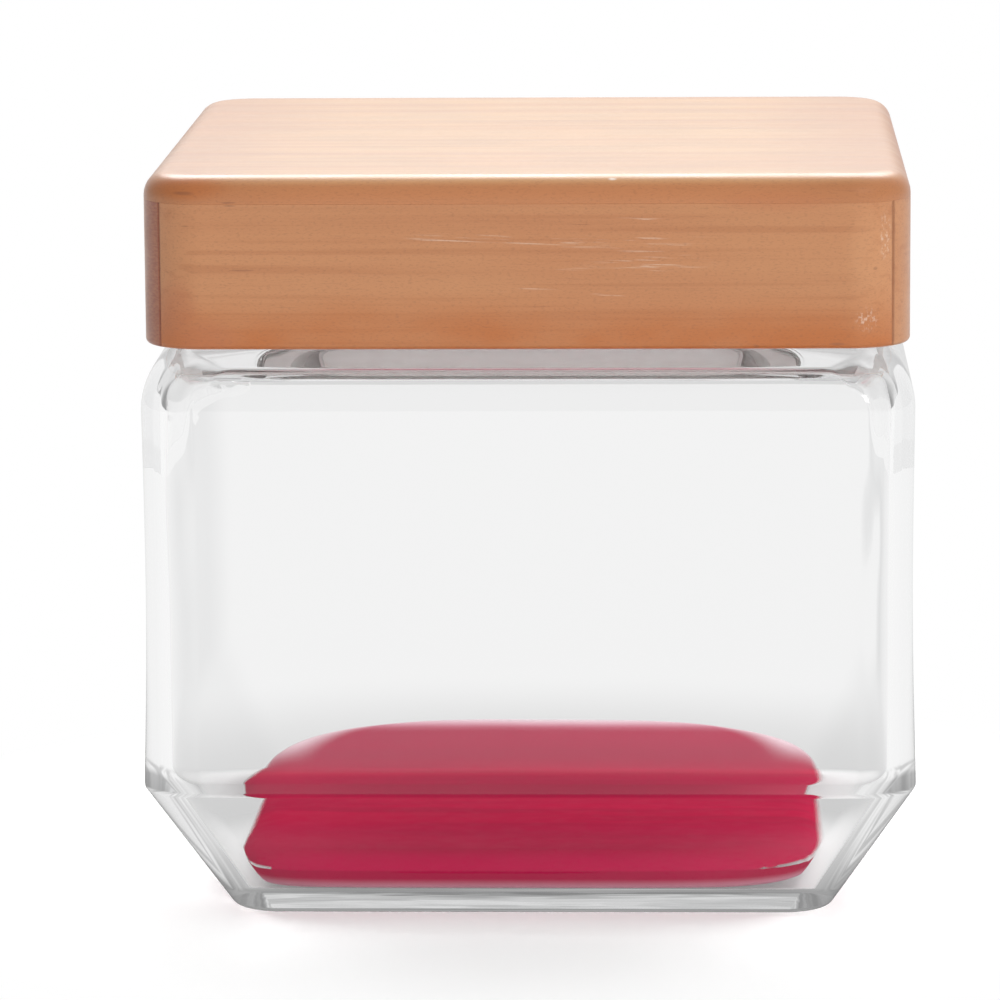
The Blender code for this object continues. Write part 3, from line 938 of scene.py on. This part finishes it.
def make_camera():
    camera = bpy.data.objects.new("camera", bpy.data.cameras.new("camera"))
    bpy.context.scene.collection.objects.link(camera)
    turn = Matrix.Rotation(math.radians(-CAMERA_LEFT), 4, "Z")
    tilt = Matrix.Rotation(math.radians(90 - CAMERA_DOWN), 4, "X")
    roll = Matrix.Rotation(math.radians(CAMERA_ROLL), 4, "Z")
    camera.matrix_world = Matrix.Translation(CAMERA_PLACE) @ turn @ tilt @ roll
    camera.data.sensor_width = 36
    camera.data.lens = CAMERA_LENS
    camera.data.clip_start = 0.01
    camera.data.clip_end = 20
    bpy.context.scene.camera = camera


def add_lamp(name, place, aim, size, watts, mirrored=True):
    data = bpy.data.lights.new(name, "AREA")
    data.shape = "RECTANGLE"
    data.size, data.size_y = size
    data.energy = watts
    lamp = bpy.data.objects.new(name, data)
    bpy.context.scene.collection.objects.link(lamp)
    lamp.location = place
    lamp.visible_glossy = mirrored
    lamp.rotation_euler = (Vector(place) - Vector(aim)).to_track_quat("Z", "Y").to_euler()


def background(tree, strength):
    return add_node(tree, "ShaderNodeBackground", {"Strength": strength}).outputs["Background"]


def mirrored_rays(tree, rays):
    """Two factors: for a ray mirrored off an outer surface, and for one mirrored later on."""
    not_bent = maths(tree, "SUBTRACT", 1.0, rays["Is Transmission Ray"])
    mirrored = times(tree, rays["Is Glossy Ray"], not_bent)
    outside = times(tree, mirrored, maths(tree, "LESS_THAN", rays["Ray Depth"], 1.5))
    return outside, maths(tree, "SUBTRACT", mirrored, outside)


def make_world():
    """White to the camera. Mirrored and bent rays meet a white horizon below a grey ceiling."""
    world = bpy.data.worlds.new("studio")
    bpy.context.scene.world = world
    world.use_nodes = True
    tree = world.node_tree
    tree.nodes.clear()
    output = tree.nodes.new("ShaderNodeOutputWorld")
    rays = tree.nodes.new("ShaderNodeLightPath").outputs
    place = tree.nodes.new("ShaderNodeTexCoord").outputs["Generated"]
    split = axes(tree, place)
    ceiling = ramp(tree, split["Z"], *CEILING_UP)
    front = ramp(tree, split["Y"], *MIRRORED_BACK)
    left = ramp(tree, split["X"], *MIRRORED_RIGHT)
    mirrored = background(tree, times(tree, times(tree, ceiling, front), left))
    sides = background(tree, ramp(tree, split["X"], *LIGHT_RIGHT))
    sideways = ramp(tree, off_centre(tree, split["X"]), *BENT_OUT)
    behind = ramp(tree, split["Y"], *BENT_BACK)
    bent = background(tree, times(tree, times(tree, ceiling, sideways), behind))
    either = maths(tree, "MAXIMUM", rays["Is Glossy Ray"], rays["Is Transmission Ray"])
    shown = mix_shader(tree, either, sides, bent)
    shown = mix_shader(tree, mirrored_rays(tree, rays)[0], shown, mirrored)
    shown = mix_shader(tree, rays["Is Camera Ray"], shown, background(tree, 1.0))
    feed(tree, output.inputs["Surface"], shown)


def glow(tree, strength):
    return add_node(tree, "ShaderNodeEmission", {"Strength": strength}).outputs["Emission"]


def floor_material():
    """Pale paper. Away from the jar it shows pure white, and close to it the jar's shadow. Rays that the
    glass bends or mirrors meet a glow there instead, with painted shade near the jar and uneven painted
    reflections.
    """
    material, tree, _ = new_material("floor_paper")
    rays = tree.nodes.new("ShaderNodeLightPath").outputs
    paper = add_node(tree, "ShaderNodeBsdfDiffuse", {"Color": PAPER}).outputs["BSDF"]
    near = add_node(tree, "ShaderNodeAddShader", {0: paper, 1: glow(tree, FLOOR_GLOW)}).outputs["Shader"]
    place = object_place(tree)
    away = vector_maths(tree, "LENGTH", {0: place})["Value"]
    seen = mix_shader(tree, ramp(tree, away, *SEEN_AWAY), near, glow(tree, 1.0))
    shade = glow(tree, ramp(tree, away, *BENT_SHADE))
    bent = mix_shader(tree, ramp(tree, away, *BENT_AWAY), near, shade)
    outside, inside = mirrored_rays(tree, rays)
    shown = mix_shader(tree, rays["Is Camera Ray"], bent, seen)
    uneven = ramp(tree, cloud(tree, place, INSIDE_CLOUD), 0.38, 0.62, 0.68, 1.0)
    close = times(tree, uneven, ramp(tree, axes(tree, place)["Y"], *INSIDE_SHADE_IN_Y))
    close = times(tree, close, ramp(tree, away, *INSIDE_SHADE))
    lit = mix_shader(tree, ramp(tree, away, *INSIDE_AWAY), glow(tree, close), glow(tree, 1.0))
    shown = mix_shader(tree, inside, shown, lit)
    shown = mix_shader(tree, outside, shown, glow(tree, ramp(tree, away, *OUTSIDE_SHADE)))
    show(tree, mix_shader(tree, rays["Is Diffuse Ray"], shown, paper))
    return material


def make_floor():
    bm = bmesh.new()
    bmesh.ops.create_circle(bm, cap_ends=True, radius=FLOOR_RADIUS, segments=64)
    mesh = bpy.data.meshes.new("floor")
    bm.to_mesh(mesh)
    bm.free()
    mesh.materials.append(floor_material())
    floor = bpy.data.objects.new("floor", mesh)
    bpy.context.scene.collection.objects.link(floor)
    floor.location.z = -FLOOR_DROP


# Each rail's side, turn, shift of its grain and marks
RAILS = [
    ("front", 0.0, 1.3, front_rail_marks),
    ("right", math.pi / 2, 3.4, mitre_marks),
    ("back", math.pi, 5.5, mitre_marks),
    ("left", -math.pi / 2, 7.6, left_rail_joint_and_painted_shade),
]

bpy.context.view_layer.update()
bpy.context.scene.view_settings.view_transform = "Standard"
make_camera()
make_world()
make_floor()
add_lamp("top_strip", *TOP_STRIP)
add_lamp("front_fill", *FRONT_FILL, mirrored=False)
build_glass(glass_material())
build_candy(candy_material())
# The pale grey of the lid's inside is painted light
bare_pine_painted_pale = wood_material("bare_pine_painted_pale", 9.0, colours=BARE_PAINTED_PALE, gloss=False)
top_pine = wood_material("top_board_pine", 0.0, top_board_marks, VARNISHED_TOP_PAINTED_LIT, TOP_GROWTH, 0.5)
build_top_board(top_pine, bare_pine_painted_pale)
for side, turn, shift, marks in RAILS:
    build_rail(side, turn, wood_material(f"{side}_rail_pine", shift, marks), bare_pine_painted_pale)
build_plug(bare_pine_painted_pale)
build_seal(silicone_material())
